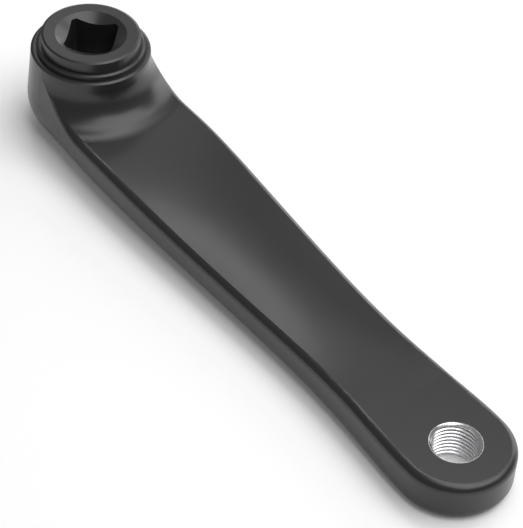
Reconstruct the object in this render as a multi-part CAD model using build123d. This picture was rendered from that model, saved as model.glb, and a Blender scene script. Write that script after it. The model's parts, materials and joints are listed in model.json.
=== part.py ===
from build123d import *

import os
from math import radians, tan

# A right-hand bicycle crank arm: one forged aluminium piece, lying on its outer face.
# The origin is on the spindle's axis in the plane of the outer face. X runs along the arm to the pedal eye,
# and Z along the spindle, towards the frame. Lengths are in millimetres.

# Arm, seen along the spindle
crank_length = 170.0
shoulder_place = 30.0
shoulder_swell = 0.6
waist_to_pedal = 38.0
waist_half_width = 14.65
eye_radius = 16.3

# Arm, seen from the side
eye_thickness = 12.0
root_thickness = 14.0
eye_flat_length = 20.0
crown_height = 1.7
crown_edge_drop = 1.5
crown_rise_share = 0.45
edge_round = 2.3

# Outer side: its edges bulge out from the flat face to the walls, most at the boss
outer_ring_width = 1.0
outer_edge_inset_at_eye = 2.6
outer_edge_height_at_boss = 12.0
outer_edge_height_at_eye = 3.2
outer_corner_round = 1.5

# Boss, with two steps below its top land
boss_height = 31.9
first_step_drop = 3.6
first_step_width = 1.4
second_step_drop = 5.15
second_step_width = 1.6
second_step_radius = 17.5
step_bevel_width = 0.7
step_bevel_height = 0.3
wall_spread = 0.9
wall_lean_start = 12.0
wall_lean_fade = 60.0
flare_round = 10.5
flare_share_of_step = 0.94

# Square taper for the spindle, with a countersunk mouth
square_across_flats = 12.7
square_taper_angle = 2.0
square_corner_cut = 1.2
mouth_radius = 10.5
mouth_angle = 30.0

# Recess in the outer face, for the crank bolt and the extractor's M22 x 1 thread
extractor_thread_diameter = 22.0
recess_depth = 12.5
recess_chamfer = 0.8

# Pedal hole, threaded 9/16 in x 20
pedal_thread_diameter = 14.29

# Lengths that only help the building
section_plane = Plane(origin=(0, 0, 0), x_dir=(0, 1, 0), z_dir=(1, 0, 0))
overshoot = 5.0
blank_height = boss_height
blend_gap = 0.03
face_trim = 0.03
rounding_start = 6.0

# Sizes that follow from the others
waist_place = crank_length - waist_to_pedal
boss_end_radius = second_step_radius + wall_spread
shoulder_half_width = boss_end_radius + shoulder_swell
first_step_radius = second_step_radius - second_step_width
land_radius = first_step_radius - first_step_width
recess_mouth_radius = extractor_thread_diameter / 2.0 + recess_chamfer
outer_edge_inset_at_boss = boss_end_radius - recess_mouth_radius - outer_ring_width
second_step_height = boss_height - second_step_drop
first_step_height = boss_height - first_step_drop
wall_lean = wall_spread / (second_step_height - wall_lean_start)


def ease(share):
    """Goes from 0 to 1 with a level start and end."""
    share = min(max(share, 0.0), 1.0)
    return share * share * (3.0 - 2.0 * share)


def half_width(x):
    """Half the arm's width: a slight swell to the shoulder, a taper to the waist, then the eye."""
    if x < shoulder_place:
        swell = ease(x / shoulder_place)
        return boss_end_radius + (shoulder_half_width - boss_end_radius) * swell
    if x < waist_place:
        taper = ease((x - shoulder_place) / (waist_place - shoulder_place))
        return shoulder_half_width + (waist_half_width - shoulder_half_width) * taper
    spread = ease((x - waist_place) / (crank_length - waist_place))
    return waist_half_width + (eye_radius - waist_half_width) * spread


def along_arm(at_boss, at_eye, x):
    """A size that changes evenly from the boss to the eye."""
    return at_boss + (at_eye - at_boss) * x / crank_length


def half_section(x):
    """One side of the blank's cross-section: flat outer face, bulging edge and tall wall."""
    lean = wall_lean * (1.0 - ease(x / wall_lean_fade))
    edge_height = along_arm(outer_edge_height_at_boss, outer_edge_height_at_eye, x)
    face_reach = half_width(x) - along_arm(outer_edge_inset_at_boss, outer_edge_inset_at_eye, x)
    wall_foot = half_width(x) + lean * (wall_lean_start - edge_height)
    wall_top = half_width(x) - lean * (blank_height - wall_lean_start)
    foot = (wall_foot, edge_height)
    floor = (face_reach, -face_trim)
    straight = Polyline(foot, (wall_top, blank_height), (0, blank_height), (0, -face_trim), floor)
    bulge = TangentArc(foot, floor, tangent=(lean, -1))
    outline = make_face(Curve() + [straight, bulge])
    corner = outline.vertices().sort_by_distance(floor)[:1]
    return section_plane.offset(x) * fillet(corner, outer_corner_round)


def wall_section(x):
    """The blank's whole cross-section."""
    return half_section(x) + mirror(half_section(x), Plane.XZ)


def round_end(x, turn):
    """Half a turn of the cross-section, which closes the blank at the boss or at the eye."""
    return revolve(half_section(x), Axis((x, 0, 0), (0, 0, 1)), turn)


def spread_places(start, end, count):
    """Evenly spaced places after start, up to and with end."""
    return [start + (end - start) * (i + 1) / count for i in range(count)]


def forged_blank():
    """The arm's full outline with its side walls still as tall as the boss."""
    places = [0.0]
    places += spread_places(0.0, shoulder_place, 2)
    places += spread_places(shoulder_place, waist_place, 3)
    places += spread_places(waist_place, crank_length, 2)
    walls = loft([wall_section(x) for x in places])
    return walls + round_end(0.0, 180) + round_end(crank_length, -180)


def flare_sizes():
    """Radius of the hollow curve, no larger than its wall has room for, and of the boss where it starts."""
    rise = second_step_height - root_thickness
    hollow = min(flare_round, flare_share_of_step * rise)
    neck = second_step_radius + blend_gap + wall_lean * (rise - hollow)
    return hollow, neck


def face_section(x, start, end):
    """What lies below the arm's inner face at one place: crowned in the middle, flat at both ends."""
    reach = shoulder_half_width + overshoot
    level = root_thickness + (eye_thickness - root_thickness) * ease((x - start) / (end - start))
    rise_length = crown_rise_share * (end - start)
    share = ease((x - start) / rise_length) * ease((end - x) / rise_length)
    middle = level + share * (crown_height - crown_edge_drop)
    side = middle - share * crown_height * (reach / half_width(x)) ** 2
    sides = Polyline((reach, side), (reach, 0), (-reach, 0), (-reach, side))
    face = Spline((-reach, side), (0, middle), (reach, side))
    return section_plane.offset(x) * make_face(Curve() + [sides, face])


def block(start, end, height):
    """A wide block that stands on the floor."""
    width = 2.0 * (shoulder_half_width + overshoot)
    stock = Box(end - start, width, height, align=(Align.MIN, Align.CENTER, Align.MIN))
    return Location((start, 0, 0)) * stock


def boss_with_flare():
    """The boss up to its second step, spreading into the arm's face in a hollow curve."""
    hollow, neck = flare_sizes()
    foot = neck + hollow
    neck_height = root_thickness + hollow
    top = second_step_radius + blend_gap
    profile = Curve() + [
        Polyline((0, second_step_height), (0, 0), (foot, 0), (foot, root_thickness)),
        RadiusArc((foot, root_thickness), (neck, neck_height), hollow),
        Polyline((neck, neck_height), (top, second_step_height), (0, second_step_height)),
    ]
    return revolve(Plane.XZ * make_face(profile), Axis.Z)


def below_the_face():
    """All that the forging keeps: what lies below the arm's inner face, the flare and the second step."""
    start = sum(flare_sizes())
    end = crank_length - eye_flat_length
    arm_face = loft([face_section(x, start, end) for x in [start] + spread_places(start, end, 6)])
    root = block(-boss_end_radius - overshoot, start, root_thickness)
    eye = block(end, crank_length + eye_radius + overshoot, eye_thickness)
    boss_back = block(-boss_end_radius - overshoot, 0.0, second_step_height)
    return arm_face + root + eye + boss_back + boss_with_flare()


def inner_edges(body):
    """The edges between the arm's inner face or flare and its side walls."""
    found = []
    for edge in body.edges():
        middle = edge.position_at(0.5)
        above = middle.Z > eye_thickness - crown_height
        past_cut = middle.X > rounding_start + blend_gap
        at_wall = abs(middle.Y) > waist_half_width - edge_round or middle.X > crank_length
        if above and past_cut and at_wall and edge.length > edge_round:
            found.append(edge)
    return found


def softened_arm():
    """The forging, with the inner edges rounded from just past the boss to the eye."""
    forging = forged_blank() & below_the_face()
    past_boss = block(rounding_start, crank_length + eye_radius + overshoot, blank_height + overshoot)
    arm = forging & past_boss
    return fillet(inner_edges(arm), edge_round) + (forging - past_boss)


def boss_steps():
    """The land and the first step, turned on top of the second step, with their corners bevelled."""
    outline = make_face(
        Polyline(
            (0, second_step_height - overshoot),
            (first_step_radius, second_step_height - overshoot),
            (first_step_radius, first_step_height - step_bevel_height),
            (first_step_radius - step_bevel_width, first_step_height),
            (land_radius, first_step_height),
            (land_radius, boss_height - step_bevel_height),
            (land_radius - step_bevel_width, boss_height),
            (0, boss_height),
            close=True,
        )
    )
    return revolve(Plane.XZ * outline, Axis.Z)


def second_step_trim():
    """What is turned off the second step to bevel its corner."""
    inside = second_step_radius - step_bevel_width
    outside = second_step_radius + overshoot
    wall = second_step_radius + wall_lean * step_bevel_height + blend_gap
    low = second_step_height - step_bevel_height
    high = second_step_height + overshoot
    step = (inside, second_step_height)
    ring = make_face(Polyline(step, (wall, low), (outside, low), (outside, high), (inside, high), close=True))
    return revolve(Plane.XZ * ring, Axis.Z)


def square_socket():
    """The tapered square, its corners along and across the arm, from the bolt seat up."""
    length = boss_height - recess_depth
    mouth_across = square_across_flats + 2.0 * length * tan(radians(square_taper_angle))

    def square(across, height):
        outline = chamfer(Rectangle(across, across).vertices(), square_corner_cut)
        return Plane.XY.offset(height) * Rot(0, 0, 45) * outline

    return loft([square(square_across_flats, recess_depth), square(mouth_across, boss_height)], ruled=True)


def socket_mouth():
    """The countersink round the square's mouth."""
    depth = mouth_radius * tan(radians(mouth_angle))
    cone = Cone(0.0, mouth_radius, depth, align=(Align.CENTER, Align.CENTER, Align.MAX))
    return Location((0, 0, boss_height)) * cone


def extractor_recess():
    """The bolt recess: a plain bore of the thread's outer diameter, with a chamfered mouth."""
    radius = extractor_thread_diameter / 2.0
    bore = Cylinder(radius, recess_depth, align=(Align.CENTER, Align.CENTER, Align.MIN))
    mouth = Cone(recess_mouth_radius, radius, recess_chamfer, align=(Align.CENTER, Align.CENTER, Align.MIN))
    return bore + mouth


def pedal_hole():
    """The pedal hole: a plain bore of the thread's outer diameter."""
    radius = pedal_thread_diameter / 2.0
    bore = Cylinder(radius, eye_thickness, align=(Align.CENTER, Align.CENTER, Align.MIN))
    return Location((crank_length, 0, 0)) * bore


def crank_arm():
    """The finished arm."""
    body = softened_arm() - second_step_trim() + boss_steps()
    return body - square_socket() - socket_mouth() - extractor_recess() - pedal_hole()


os.makedirs("parts", exist_ok=True)
export_step(crank_arm(), "parts/crank_arm.step")
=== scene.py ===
import json
from math import pi, radians, sqrt

import bpy
from mathutils import Matrix, Vector


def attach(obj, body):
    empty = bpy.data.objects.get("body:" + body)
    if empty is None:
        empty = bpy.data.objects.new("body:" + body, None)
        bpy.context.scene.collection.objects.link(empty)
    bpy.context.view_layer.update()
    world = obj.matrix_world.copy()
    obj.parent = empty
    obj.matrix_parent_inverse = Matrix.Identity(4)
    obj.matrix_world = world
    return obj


bl_info = {
    "name": "Bicycle crank arm",
    "version": (1, 0, 0),
    "blender": (4, 5, 0),
    "location": "3D View > Sidebar > Crank arm",
    "description": "Paints the crank arm, cuts its threads and lights it on a white table",
    "category": "Object",
}

MILLIMETRE = 0.001
WHITE = (1.0, 1.0, 1.0, 1.0)

# Paint: blotches in its gloss, and how far the bare metal reaches past a wall or over a chamfer
BLOTCH_WIDTH = 12.0 * MILLIMETRE
BLOTCH_CHANGE = 0.012
WALL_MARGIN = 0.02 * MILLIMETRE
CHAMFER_MARGIN = 0.85 * MILLIMETRE

# Bare metal: its tool marks
MARK_WIDTH = 0.4 * MILLIMETRE
MARK_DEPTH = 0.004 * MILLIMETRE
MARK_CHANGE = 0.06

# Thread form, as shares of the pitch: its depth, its root's flat and the cutter's reach past the crests
THREAD_DEPTH = 0.5413
ROOT_FLAT = 0.125
CUTTER_REACH = 0.2

# Thread cutting: the cutter's turns past each end, the end chamfer's share of the depth, and the shading
SPARE_TURNS = 2
CHAMFER_SHARE = 0.95
SMOOTH_ANGLE = radians(25.0)

# Stage: the table's dull surface, the camera's sensor in millimetres and nearest sight, and how lamps face
TABLE_ROUGHNESS = 0.9
TABLE_SHEEN = 0.1
SENSOR_WIDTH = 36.0
NEAREST_SIGHT = 0.01
FACING_DOWN = (0.0, 0.0, 0.0)
FACING_FRONT = (-pi / 2.0, 0.0, 0.0)

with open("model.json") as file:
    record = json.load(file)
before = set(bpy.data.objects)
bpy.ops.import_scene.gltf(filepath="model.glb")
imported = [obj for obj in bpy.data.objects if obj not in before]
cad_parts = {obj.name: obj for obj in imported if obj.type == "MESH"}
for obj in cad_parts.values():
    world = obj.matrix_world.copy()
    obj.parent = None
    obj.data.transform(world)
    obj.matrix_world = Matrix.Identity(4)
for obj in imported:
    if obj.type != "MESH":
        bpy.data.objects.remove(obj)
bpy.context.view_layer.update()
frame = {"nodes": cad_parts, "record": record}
mounts = {mount["name"]: mount for mount in frame["record"]["mounts"]}
arm_node = frame["nodes"]["crank_arm"]


def mount_radius(name):
    """The wall radius that the record states for a round mount, in metres."""
    return mounts[name]["dims"]["r_mm"] * MILLIMETRE


def mount_length(name):
    """The wall length that the record states for a round mount, in metres."""
    return mounts[name]["dims"]["length_mm"] * MILLIMETRE


class ArmFinish(bpy.types.PropertyGroup):
    """Looks of the paint and of the bare metal in the threads."""

    paint_colour: bpy.props.FloatVectorProperty(
        name="Paint", description="Colour of the satin paint", subtype="COLOR", size=4, min=0.0, max=1.0,
        default=(0.02, 0.02, 0.021, 1.0))
    paint_roughness: bpy.props.FloatProperty(
        name="Paint roughness", description="How far the paint spreads its reflections", subtype="FACTOR",
        default=0.29, min=0.0, max=1.0)
    paint_sheen: bpy.props.FloatProperty(
        name="Paint sheen", description="Strength of the paint's reflections; 0.5 is that of plain plastic",
        subtype="FACTOR", default=0.57, min=0.0, max=1.0)
    grain_size: bpy.props.FloatProperty(
        name="Grain", description="Width of one grain of the paint", unit="LENGTH",
        default=0.0005, min=0.0001)
    grain_depth: bpy.props.FloatProperty(
        name="Grain depth", description="Height of the paint's grain", unit="LENGTH",
        default=0.000006, min=0.0)
    metal_colour: bpy.props.FloatVectorProperty(
        name="Bare metal", description="Colour of the freshly cut aluminium", subtype="COLOR", size=4,
        min=0.0, max=1.0, default=(0.78, 0.78, 0.79, 1.0))
    metal_roughness: bpy.props.FloatProperty(
        name="Metal roughness", description="How far the cut metal spreads its reflections",
        subtype="FACTOR", default=0.24, min=0.0, max=1.0)


class ThreadSizes(bpy.types.PropertyGroup):
    """Sizes of the two threads, which are cut in sleeves that line the plain bores."""

    pedal_pitch: bpy.props.FloatProperty(
        name="Pedal pitch", description="Distance between turns of the pedal thread", unit="LENGTH",
        default=0.00127, min=0.0005)
    extractor_pitch: bpy.props.FloatProperty(
        name="Extractor pitch", description="Distance between turns of the extractor thread", unit="LENGTH",
        default=0.001, min=0.0005)
    extractor_length: bpy.props.FloatProperty(
        name="Extractor length", description="Length of the extractor thread, short of the bolt seat",
        unit="LENGTH", default=0.0092, min=0.003)
    sleeve_backing: bpy.props.FloatProperty(
        name="Backing", description="How far a sleeve reaches into the wall behind it", unit="LENGTH",
        default=0.00025, min=0.0001)
    root_clearance: bpy.props.FloatProperty(
        name="Root clearance", description="How far a thread's root stays inside the bore's wall",
        unit="LENGTH", default=0.00006, min=0.0)
    end_gap: bpy.props.FloatProperty(
        name="End gap", description="How far the pedal sleeve stops short of the eye's faces", unit="LENGTH",
        default=0.00001, min=0.0)
    facets_per_turn: bpy.props.IntProperty(
        name="Facets", description="Facets in one turn of a thread", default=96, min=24)


class StageSettings(bpy.types.PropertyGroup):
    """The table, the camera and the lamps."""

    floor_colour: bpy.props.FloatVectorProperty(
        name="Table", description="Colour of the table", subtype="COLOR", size=4, min=0.0, max=1.0,
        default=(0.98, 0.98, 0.98, 1.0))
    floor_glow: bpy.props.FloatProperty(
        name="Table glow", description="How much brighter the table looks than the lamps make it",
        default=0.06, min=0.0)
    floor_size: bpy.props.FloatProperty(
        name="Table size", description="Length of the table's side", unit="LENGTH", default=6.0, min=1.0)
    camera_place: bpy.props.FloatVectorProperty(
        name="Camera", description="Where the camera stands", subtype="XYZ", unit="LENGTH", size=3,
        default=(0.459774, -0.310744, 0.460895))
    camera_aim: bpy.props.FloatVectorProperty(
        name="Aim", description="The point at the middle of the picture", subtype="XYZ", unit="LENGTH",
        size=3, default=(0.085981, 0.000157, 0.008))
    camera_roll: bpy.props.FloatProperty(
        name="Roll", description="Turn of the camera about its line of sight", subtype="ANGLE",
        default=radians(4.9924))
    lens: bpy.props.FloatProperty(
        name="Lens", description="Focal length on a 36 mm sensor, in millimetres", default=165.207, min=20.0)
    strip_place: bpy.props.FloatVectorProperty(
        name="Strip lamp", description="Where the long narrow softbox hangs, over the boss's end",
        subtype="XYZ", unit="LENGTH", size=3, default=(-0.54, 0.315, 1.0))
    strip_size: bpy.props.FloatVectorProperty(
        name="Strip size", description="The narrow softbox's lengths along and across the arm",
        unit="LENGTH", size=2, default=(1.12, 0.23), min=0.1)
    strip_level: bpy.props.FloatProperty(
        name="Strip level", description="Brightness of the narrow softbox's face", default=3.6, min=0.0)
    short_eye_place: bpy.props.FloatVectorProperty(
        name="First short lamp", description="Where the short softbox hangs that the eye reflects",
        subtype="XYZ", unit="LENGTH", size=3, default=(-0.15, 0.57, 1.0))
    short_boss_place: bpy.props.FloatVectorProperty(
        name="Second short lamp", description="Where the short softbox hangs that the boss reflects",
        subtype="XYZ", unit="LENGTH", size=3, default=(-1.22, 0.62, 1.0))
    short_size: bpy.props.FloatVectorProperty(
        name="Short size", description="The short softboxes' lengths along and across the arm",
        unit="LENGTH", size=2, default=(0.6, 0.25), min=0.1)
    short_level: bpy.props.FloatProperty(
        name="Short level", description="Brightness of the short softboxes' faces", default=1.6, min=0.0)
    key_place: bpy.props.FloatVectorProperty(
        name="Key lamp", description="Where the large softbox hangs, over the eye's end", subtype="XYZ",
        unit="LENGTH", size=3, default=(0.5, 0.375, 1.0))
    key_size: bpy.props.FloatVectorProperty(
        name="Key size", description="The large softbox's lengths along and across the arm", unit="LENGTH",
        size=2, default=(1.0, 1.25), min=0.1)
    key_level: bpy.props.FloatProperty(
        name="Key level", description="Brightness of the large softbox's face", default=2.6, min=0.0)
    back_place: bpy.props.FloatVectorProperty(
        name="Back lamp", description="Where the wide softbox behind the arm stands", subtype="XYZ",
        unit="LENGTH", size=3, default=(-0.11, 1.0, 0.425))
    back_size: bpy.props.FloatVectorProperty(
        name="Back size", description="The wide softbox's width and height", unit="LENGTH", size=2,
        default=(0.62, 0.85), min=0.1)
    back_level: bpy.props.FloatProperty(
        name="Back level", description="Brightness of the wide softbox's face", default=2.1, min=0.0)
    rim_place: bpy.props.FloatVectorProperty(
        name="Rim lamp", description="Where the low softbox stands, behind the boss", subtype="XYZ",
        unit="LENGTH", size=3, default=(-0.8, 1.0, 0.17))
    rim_size: bpy.props.FloatVectorProperty(
        name="Rim size", description="The low softbox's width and height", unit="LENGTH", size=2,
        default=(0.76, 0.34), min=0.1)
    rim_level: bpy.props.FloatProperty(
        name="Rim level", description="Brightness of the low softbox's face", default=2.2, min=0.0)
    room_level: bpy.props.FloatProperty(
        name="Room level", description="Brightness of the room round the table", default=0.22, min=0.0)


def clear_selection():
    """Leaves object mode active and nothing selected."""
    if bpy.context.object and bpy.context.object.mode != "OBJECT":
        bpy.ops.object.mode_set(mode="OBJECT")
    bpy.ops.object.select_all(action="DESELECT")


def take(piece):
    """Makes a piece the only one that is selected, and the active one."""
    clear_selection()
    piece.select_set(True)
    bpy.context.view_layer.objects.active = piece


def pick(piece, kind, wanted):
    """In edit mode, selects only the faces, edges or points that the test wants."""
    bpy.ops.mesh.select_mode(type=kind)
    bpy.ops.mesh.select_all(action="DESELECT")
    bpy.ops.object.mode_set(mode="OBJECT")
    mesh = piece.data
    elements = {"FACE": mesh.polygons, "EDGE": mesh.edges, "VERT": mesh.vertices}
    for element in elements[kind]:
        element.select = wanted(element)
    bpy.ops.object.mode_set(mode="EDIT")


def settle(piece):
    """Puts a piece's place, turn and size into its mesh."""
    take(piece)
    bpy.ops.object.transform_apply(location=True, rotation=True, scale=True)


def apply_modifiers(piece):
    """Applies all the modifiers of a piece, in order."""
    take(piece)
    for modifier in list(piece.modifiers):
        bpy.ops.object.modifier_apply(modifier=modifier.name)


def face_outwards():
    """In edit mode, turns all the faces of the active piece outwards."""
    bpy.ops.mesh.select_all(action="SELECT")
    bpy.ops.mesh.normals_make_consistent(inside=False)


def new_material(name):
    """A material with only a shader and an output, its node tree and the shader."""
    material = bpy.data.materials.new(name)
    material.use_nodes = True
    tree = material.node_tree
    shader = next(node for node in tree.nodes if node.type == "BSDF_PRINCIPLED")
    return material, tree, shader


def maths(tree, operation, first, second):
    """The result of a Math node; each operand is another node's output or a number."""
    node = tree.nodes.new("ShaderNodeMath")
    node.operation = operation
    for socket, operand in zip(node.inputs, (first, second)):
        if isinstance(operand, (int, float)):
            socket.default_value = operand
        else:
            tree.links.new(operand, socket)
    return node.outputs["Value"]


def noise(tree, coordinates, width, detail):
    """A noise texture whose blobs are about as wide as stated, in metres."""
    node = tree.nodes.new("ShaderNodeTexNoise")
    node.inputs["Scale"].default_value = 1.0 / width
    node.inputs["Detail"].default_value = detail
    tree.links.new(coordinates, node.inputs["Vector"])
    return node.outputs["Fac"]


def vary(tree, texture, middle, change):
    """Maps a texture's 0 to 1 onto a range of values on both sides of a middle one."""
    node = tree.nodes.new("ShaderNodeMapRange")
    node.inputs["To Min"].default_value = middle - change
    node.inputs["To Max"].default_value = middle + change
    tree.links.new(texture, node.inputs["Value"])
    return node.outputs["Result"]


def raise_relief(tree, shader, texture, depth):
    """Raises a texture as fine relief on a shader."""
    bump = tree.nodes.new("ShaderNodeBump")
    bump.inputs["Strength"].default_value = 1.0
    bump.inputs["Distance"].default_value = depth
    tree.links.new(texture, bump.inputs["Height"])
    tree.links.new(bump.outputs["Normal"], shader.inputs["Normal"])


def axis_distance(tree, coordinates, axis_x):
    """Distance from an upright axis at a place along the arm."""
    flat = tree.nodes.new("ShaderNodeVectorMath")
    flat.operation = "MULTIPLY"
    flat.inputs[1].default_value = (1.0, 1.0, 0.0)
    tree.links.new(coordinates, flat.inputs[0])
    reach = tree.nodes.new("ShaderNodeVectorMath")
    reach.operation = "DISTANCE"
    reach.inputs[1].default_value = (axis_x, 0.0, 0.0)
    tree.links.new(flat.outputs["Vector"], reach.inputs[0])
    return reach.outputs["Value"]


def bare_places(tree, coordinates):
    """1 in the pedal hole and in the extractor recess with its chamfer and seat, and 0 elsewhere."""
    pedal_axis = mounts["pedal_thread"]["pos_m"][0]
    eye_edge = mount_radius("pedal_thread") + WALL_MARGIN
    in_eye = maths(tree, "LESS_THAN", axis_distance(tree, coordinates, pedal_axis), eye_edge)
    place = tree.nodes.new("ShaderNodeSeparateXYZ")
    tree.links.new(coordinates, place.inputs["Vector"])
    seat_height = mounts["bolt_seat"]["pos_m"][2] + WALL_MARGIN
    below_seat = maths(tree, "LESS_THAN", place.outputs["Z"], seat_height)
    recess_edge = mount_radius("extractor_thread") + CHAMFER_MARGIN
    within_recess = maths(tree, "LESS_THAN", axis_distance(tree, coordinates, 0.0), recess_edge)
    in_recess = maths(tree, "MULTIPLY", below_seat, within_recess)
    return maths(tree, "MAXIMUM", in_eye, in_recess)


def paint_material(finish):
    """Satin black paint with a fine grain, bare inside the pedal hole and the extractor recess."""
    material, tree, shader = new_material("black_paint")
    coordinates = tree.nodes.new("ShaderNodeTexCoord").outputs["Object"]
    bare = bare_places(tree, coordinates)

    colour = tree.nodes.new("ShaderNodeMix")
    colour.data_type = "RGBA"
    colour.inputs["A"].default_value = finish.paint_colour
    colour.inputs["B"].default_value = finish.metal_colour
    tree.links.new(bare, colour.inputs["Factor"])
    tree.links.new(colour.outputs["Result"], shader.inputs["Base Color"])
    tree.links.new(bare, shader.inputs["Metallic"])
    shader.inputs["Specular IOR Level"].default_value = finish.paint_sheen

    blotches = noise(tree, coordinates, BLOTCH_WIDTH, detail=2.0)
    roughness = tree.nodes.new("ShaderNodeMix")
    roughness.inputs["B"].default_value = finish.metal_roughness
    tree.links.new(bare, roughness.inputs["Factor"])
    tree.links.new(vary(tree, blotches, finish.paint_roughness, BLOTCH_CHANGE), roughness.inputs["A"])
    tree.links.new(roughness.outputs["Result"], shader.inputs["Roughness"])

    grain = noise(tree, coordinates, finish.grain_size, detail=3.0)
    raise_relief(tree, shader, grain, finish.grain_depth)
    return material


def metal_material(finish):
    """Freshly cut aluminium with fine tool marks."""
    material, tree, shader = new_material("bare_metal")
    coordinates = tree.nodes.new("ShaderNodeTexCoord").outputs["Object"]
    marks = noise(tree, coordinates, MARK_WIDTH, detail=2.0)
    shader.inputs["Base Color"].default_value = finish.metal_colour
    shader.inputs["Metallic"].default_value = 1.0
    tree.links.new(vary(tree, marks, finish.metal_roughness, MARK_CHANGE), shader.inputs["Roughness"])
    raise_relief(tree, shader, marks, MARK_DEPTH)
    return material


def groove_cutter(root, pitch, depth, height, facets):
    """A coil with the section of one 60 degree thread groove, longer at both ends than the wall it cuts."""
    root_width = ROOT_FLAT * pitch
    mouth_width = root_width + 2.0 * depth / sqrt(3.0)
    middle = root - depth / 2.0
    clear_selection()
    bpy.ops.mesh.primitive_plane_add(size=1.0, location=(middle, 0.0, 0.0), rotation=(pi / 2.0, 0.0, 0.0))
    cutter = bpy.context.object
    cutter.scale = (depth, mouth_width, 1.0)
    settle(cutter)
    bpy.ops.object.mode_set(mode="EDIT")
    pick(cutter, "VERT", lambda point: point.co.x > middle)
    bpy.ops.transform.resize(value=(1.0, 1.0, root_width / mouth_width), center_override=(root, 0.0, 0.0))
    bpy.ops.object.mode_set(mode="OBJECT")
    coil = cutter.modifiers.new("coil", "SCREW")
    coil.axis = "Z"
    coil.steps = facets
    coil.render_steps = facets
    coil.iterations = int(height / pitch) + 2 * SPARE_TURNS
    coil.screw_offset = pitch
    coil.use_merge_vertices = False
    apply_modifiers(cutter)
    cutter.location = (0.0, 0.0, -SPARE_TURNS * pitch)
    settle(cutter)
    bpy.ops.object.mode_set(mode="EDIT")
    bpy.ops.mesh.select_all(action="SELECT")
    bpy.ops.mesh.fill_holes(sides=4)
    face_outwards()
    bpy.ops.object.mode_set(mode="OBJECT")
    return cutter


def threaded_sleeve(name, place, bore, pitch, low, high, sizes):
    """A sleeve that lines a plain bore and carries its right-hand thread, chamfered at both ends.

    It is modelled in millimetres, as the cut needs coarser numbers than metres, and then shrunk.
    """
    bore, pitch, height = (value / MILLIMETRE for value in (bore, pitch, high - low))
    outer = bore + sizes.sleeve_backing / MILLIMETRE
    root = bore - sizes.root_clearance / MILLIMETRE
    crest = root - THREAD_DEPTH * pitch
    middle = height / 2.0
    clear_selection()
    bpy.ops.mesh.primitive_cylinder_add(
        vertices=sizes.facets_per_turn, radius=outer, depth=height, end_fill_type="NGON",
        location=(0.0, 0.0, middle))
    sleeve = bpy.context.object
    sleeve.name = name
    settle(sleeve)

    def is_end(face):
        """Whether a face looks up or down."""
        return abs(face.normal.z) > 0.5

    def on_inner_rim(edge):
        """Whether an edge lies round the bore, at one of its ends."""
        first, second = (sleeve.data.vertices[i].co for i in edge.vertices)
        point = (first + second) / 2.0
        return point.xy.length < (crest + root) / 2.0 and abs(point.z - middle) > middle / 2.0

    bpy.ops.object.mode_set(mode="EDIT")
    pick(sleeve, "FACE", is_end)
    bpy.ops.mesh.inset(thickness=outer - crest, depth=0.0)
    bpy.ops.mesh.bridge_edge_loops()
    pick(sleeve, "EDGE", on_inner_rim)
    chamfer = CHAMFER_SHARE * (root - crest)
    bpy.ops.mesh.bevel(offset=chamfer, offset_type="OFFSET", segments=1, affect="EDGES")
    face_outwards()
    bpy.ops.object.mode_set(mode="OBJECT")

    depth = root - crest + CUTTER_REACH * pitch
    cutter = groove_cutter(root, pitch, depth, height, sizes.facets_per_turn)
    cut = sleeve.modifiers.new("groove", "BOOLEAN")
    cut.operation = "DIFFERENCE"
    cut.solver = "EXACT"
    cut.object = cutter
    apply_modifiers(sleeve)
    bpy.data.objects.remove(cutter)
    sleeve.scale = (MILLIMETRE, MILLIMETRE, MILLIMETRE)
    sleeve.location = (place, 0.0, low)
    settle(sleeve)
    bpy.ops.object.shade_smooth_by_angle(angle=SMOOTH_ANGLE)
    return sleeve


def lay_table(stage):
    """A white table that looks a little brighter, seen or reflected, than the lamps make it."""
    clear_selection()
    bpy.ops.mesh.primitive_plane_add(size=stage.floor_size, location=(0.0, 0.0, 0.0))
    table = bpy.context.object
    table.name = "table"
    material, tree, shader = new_material("white_table")
    shader.inputs["Base Color"].default_value = stage.floor_colour
    shader.inputs["Roughness"].default_value = TABLE_ROUGHNESS
    shader.inputs["Specular IOR Level"].default_value = TABLE_SHEEN
    rays = tree.nodes.new("ShaderNodeLightPath").outputs
    direct = maths(tree, "MAXIMUM", rays["Is Camera Ray"], rays["Is Glossy Ray"])
    seen = maths(tree, "MAXIMUM", direct, rays["Is Transmission Ray"])
    glow = maths(tree, "MULTIPLY", seen, stage.floor_glow)
    shader.inputs["Emission Color"].default_value = WHITE
    tree.links.new(glow, shader.inputs["Emission Strength"])
    table.data.materials.append(material)


def hang_softbox(name, place, turn, size, level):
    """A rectangular lamp that faces down before its turn, with the brightness of its face stated."""
    lamp_data = bpy.data.lights.new(name, "AREA")
    lamp_data.shape = "RECTANGLE"
    lamp_data.size, lamp_data.size_y = size
    lamp_data.energy = level * pi * lamp_data.size * lamp_data.size_y
    lamp = bpy.data.objects.new(name, lamp_data)
    bpy.context.scene.collection.objects.link(lamp)
    lamp.location = place
    lamp.rotation_euler = turn


def hang_lamps(stage):
    """Four softboxes overhead, two upright ones behind the arm, and the faint light of the room."""
    hang_softbox("strip", stage.strip_place, FACING_DOWN, stage.strip_size, stage.strip_level)
    for place in (stage.short_eye_place, stage.short_boss_place):
        hang_softbox("short", place, FACING_DOWN, stage.short_size, stage.short_level)
    hang_softbox("key", stage.key_place, FACING_DOWN, stage.key_size, stage.key_level)
    hang_softbox("back", stage.back_place, FACING_FRONT, stage.back_size, stage.back_level)
    hang_softbox("rim", stage.rim_place, FACING_FRONT, stage.rim_size, stage.rim_level)
    room = bpy.data.worlds.new("room")
    room.use_nodes = True
    background = next(node for node in room.node_tree.nodes if node.type == "BACKGROUND")
    background.inputs["Color"].default_value = WHITE
    background.inputs["Strength"].default_value = stage.room_level
    bpy.context.scene.world = room


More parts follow.
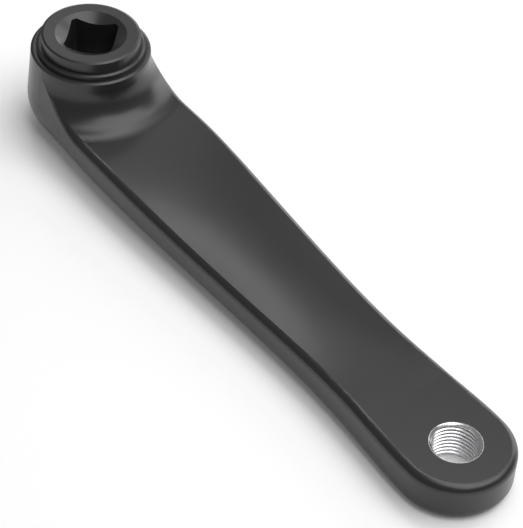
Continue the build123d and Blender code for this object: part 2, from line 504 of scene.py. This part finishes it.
def set_camera(stage):
    """The camera, which stands, aims and rolls as the settings say."""
    camera_data = bpy.data.cameras.new("camera")
    camera_data.sensor_fit = "HORIZONTAL"
    camera_data.sensor_width = SENSOR_WIDTH
    camera_data.lens = stage.lens
    camera_data.clip_start = NEAREST_SIGHT
    camera = bpy.data.objects.new("camera", camera_data)
    bpy.context.scene.collection.objects.link(camera)
    place = Vector(stage.camera_place)
    look = (Vector(stage.camera_aim) - place).to_track_quat("-Z", "Y").to_matrix().to_4x4()
    camera.matrix_world = Matrix.Translation(place) @ look @ Matrix.Rotation(stage.camera_roll, 4, "Z")
    bpy.context.scene.camera = camera


class CRANK_OT_paint_arm(bpy.types.Operator):
    """Gives the arm its satin black paint, bare in the threaded holes"""

    bl_idname = "crank.paint_arm"
    bl_label = "Paint the arm"

    def execute(self, context):
        arm_node.data.materials.clear()
        arm_node.data.materials.append(paint_material(context.scene.crank_finish))
        return {"FINISHED"}


class CRANK_OT_cut_threads(bpy.types.Operator):
    """Lines the pedal hole and the extractor recess with their threads"""

    bl_idname = "crank.cut_threads"
    bl_label = "Cut the threads"

    def execute(self, context):
        sizes = context.scene.crank_threads
        metal = metal_material(context.scene.crank_finish)
        pedal_axis, _, pedal_low = mounts["pedal_thread"]["pos_m"]
        pedal_high = pedal_low + mount_length("pedal_thread")
        pedal = threaded_sleeve(
            "pedal_thread", pedal_axis, mount_radius("pedal_thread"), sizes.pedal_pitch,
            pedal_low + sizes.end_gap, pedal_high - sizes.end_gap, sizes)
        recess_low = mounts["extractor_thread"]["pos_m"][2]
        extractor = threaded_sleeve(
            "extractor_thread", 0.0, mount_radius("extractor_thread"), sizes.extractor_pitch,
            recess_low, recess_low + sizes.extractor_length, sizes)
        for sleeve in (pedal, extractor):
            sleeve.data.materials.append(metal)
            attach(sleeve, "root")
        return {"FINISHED"}


class CRANK_OT_set_stage(bpy.types.Operator):
    """Lays the arm on a white table among softboxes, and sets the camera"""

    bl_idname = "crank.set_stage"
    bl_label = "Set the stage"

    def execute(self, context):
        stage = context.scene.crank_stage
        lay_table(stage)
        hang_lamps(stage)
        set_camera(stage)
        context.scene.view_settings.view_transform = "Standard"
        return {"FINISHED"}


class CRANK_PT_panel(bpy.types.Panel):
    """Lists the steps in the sidebar, and the settings that they use"""

    bl_idname = "CRANK_PT_panel"
    bl_label = "Crank arm"
    bl_space_type = "VIEW_3D"
    bl_region_type = "UI"
    bl_category = "Crank arm"

    def draw(self, context):
        for step in ("crank.paint_arm", "crank.cut_threads", "crank.set_stage"):
            self.layout.operator(step)
        for settings in (context.scene.crank_finish, context.scene.crank_threads, context.scene.crank_stage):
            box = self.layout.box()
            for name in settings.__annotations__:
                box.prop(settings, name)


classes = (
    ArmFinish,
    ThreadSizes,
    StageSettings,
    CRANK_OT_paint_arm,
    CRANK_OT_cut_threads,
    CRANK_OT_set_stage,
    CRANK_PT_panel,
)


def register():
    """Makes the settings, the steps and the panel known to Blender."""
    for each in classes:
        bpy.utils.register_class(each)
    bpy.types.Scene.crank_finish = bpy.props.PointerProperty(type=ArmFinish)
    bpy.types.Scene.crank_threads = bpy.props.PointerProperty(type=ThreadSizes)
    bpy.types.Scene.crank_stage = bpy.props.PointerProperty(type=StageSettings)


def unregister():
    """Takes back what register made known."""
    del bpy.types.Scene.crank_stage
    del bpy.types.Scene.crank_threads
    del bpy.types.Scene.crank_finish
    for each in reversed(classes):
        bpy.utils.unregister_class(each)


def main():
    """Builds the whole scene."""
    register()
    bpy.ops.crank.paint_arm()
    bpy.ops.crank.cut_threads()
    bpy.ops.crank.set_stage()


if __name__ == "__main__":
    main()
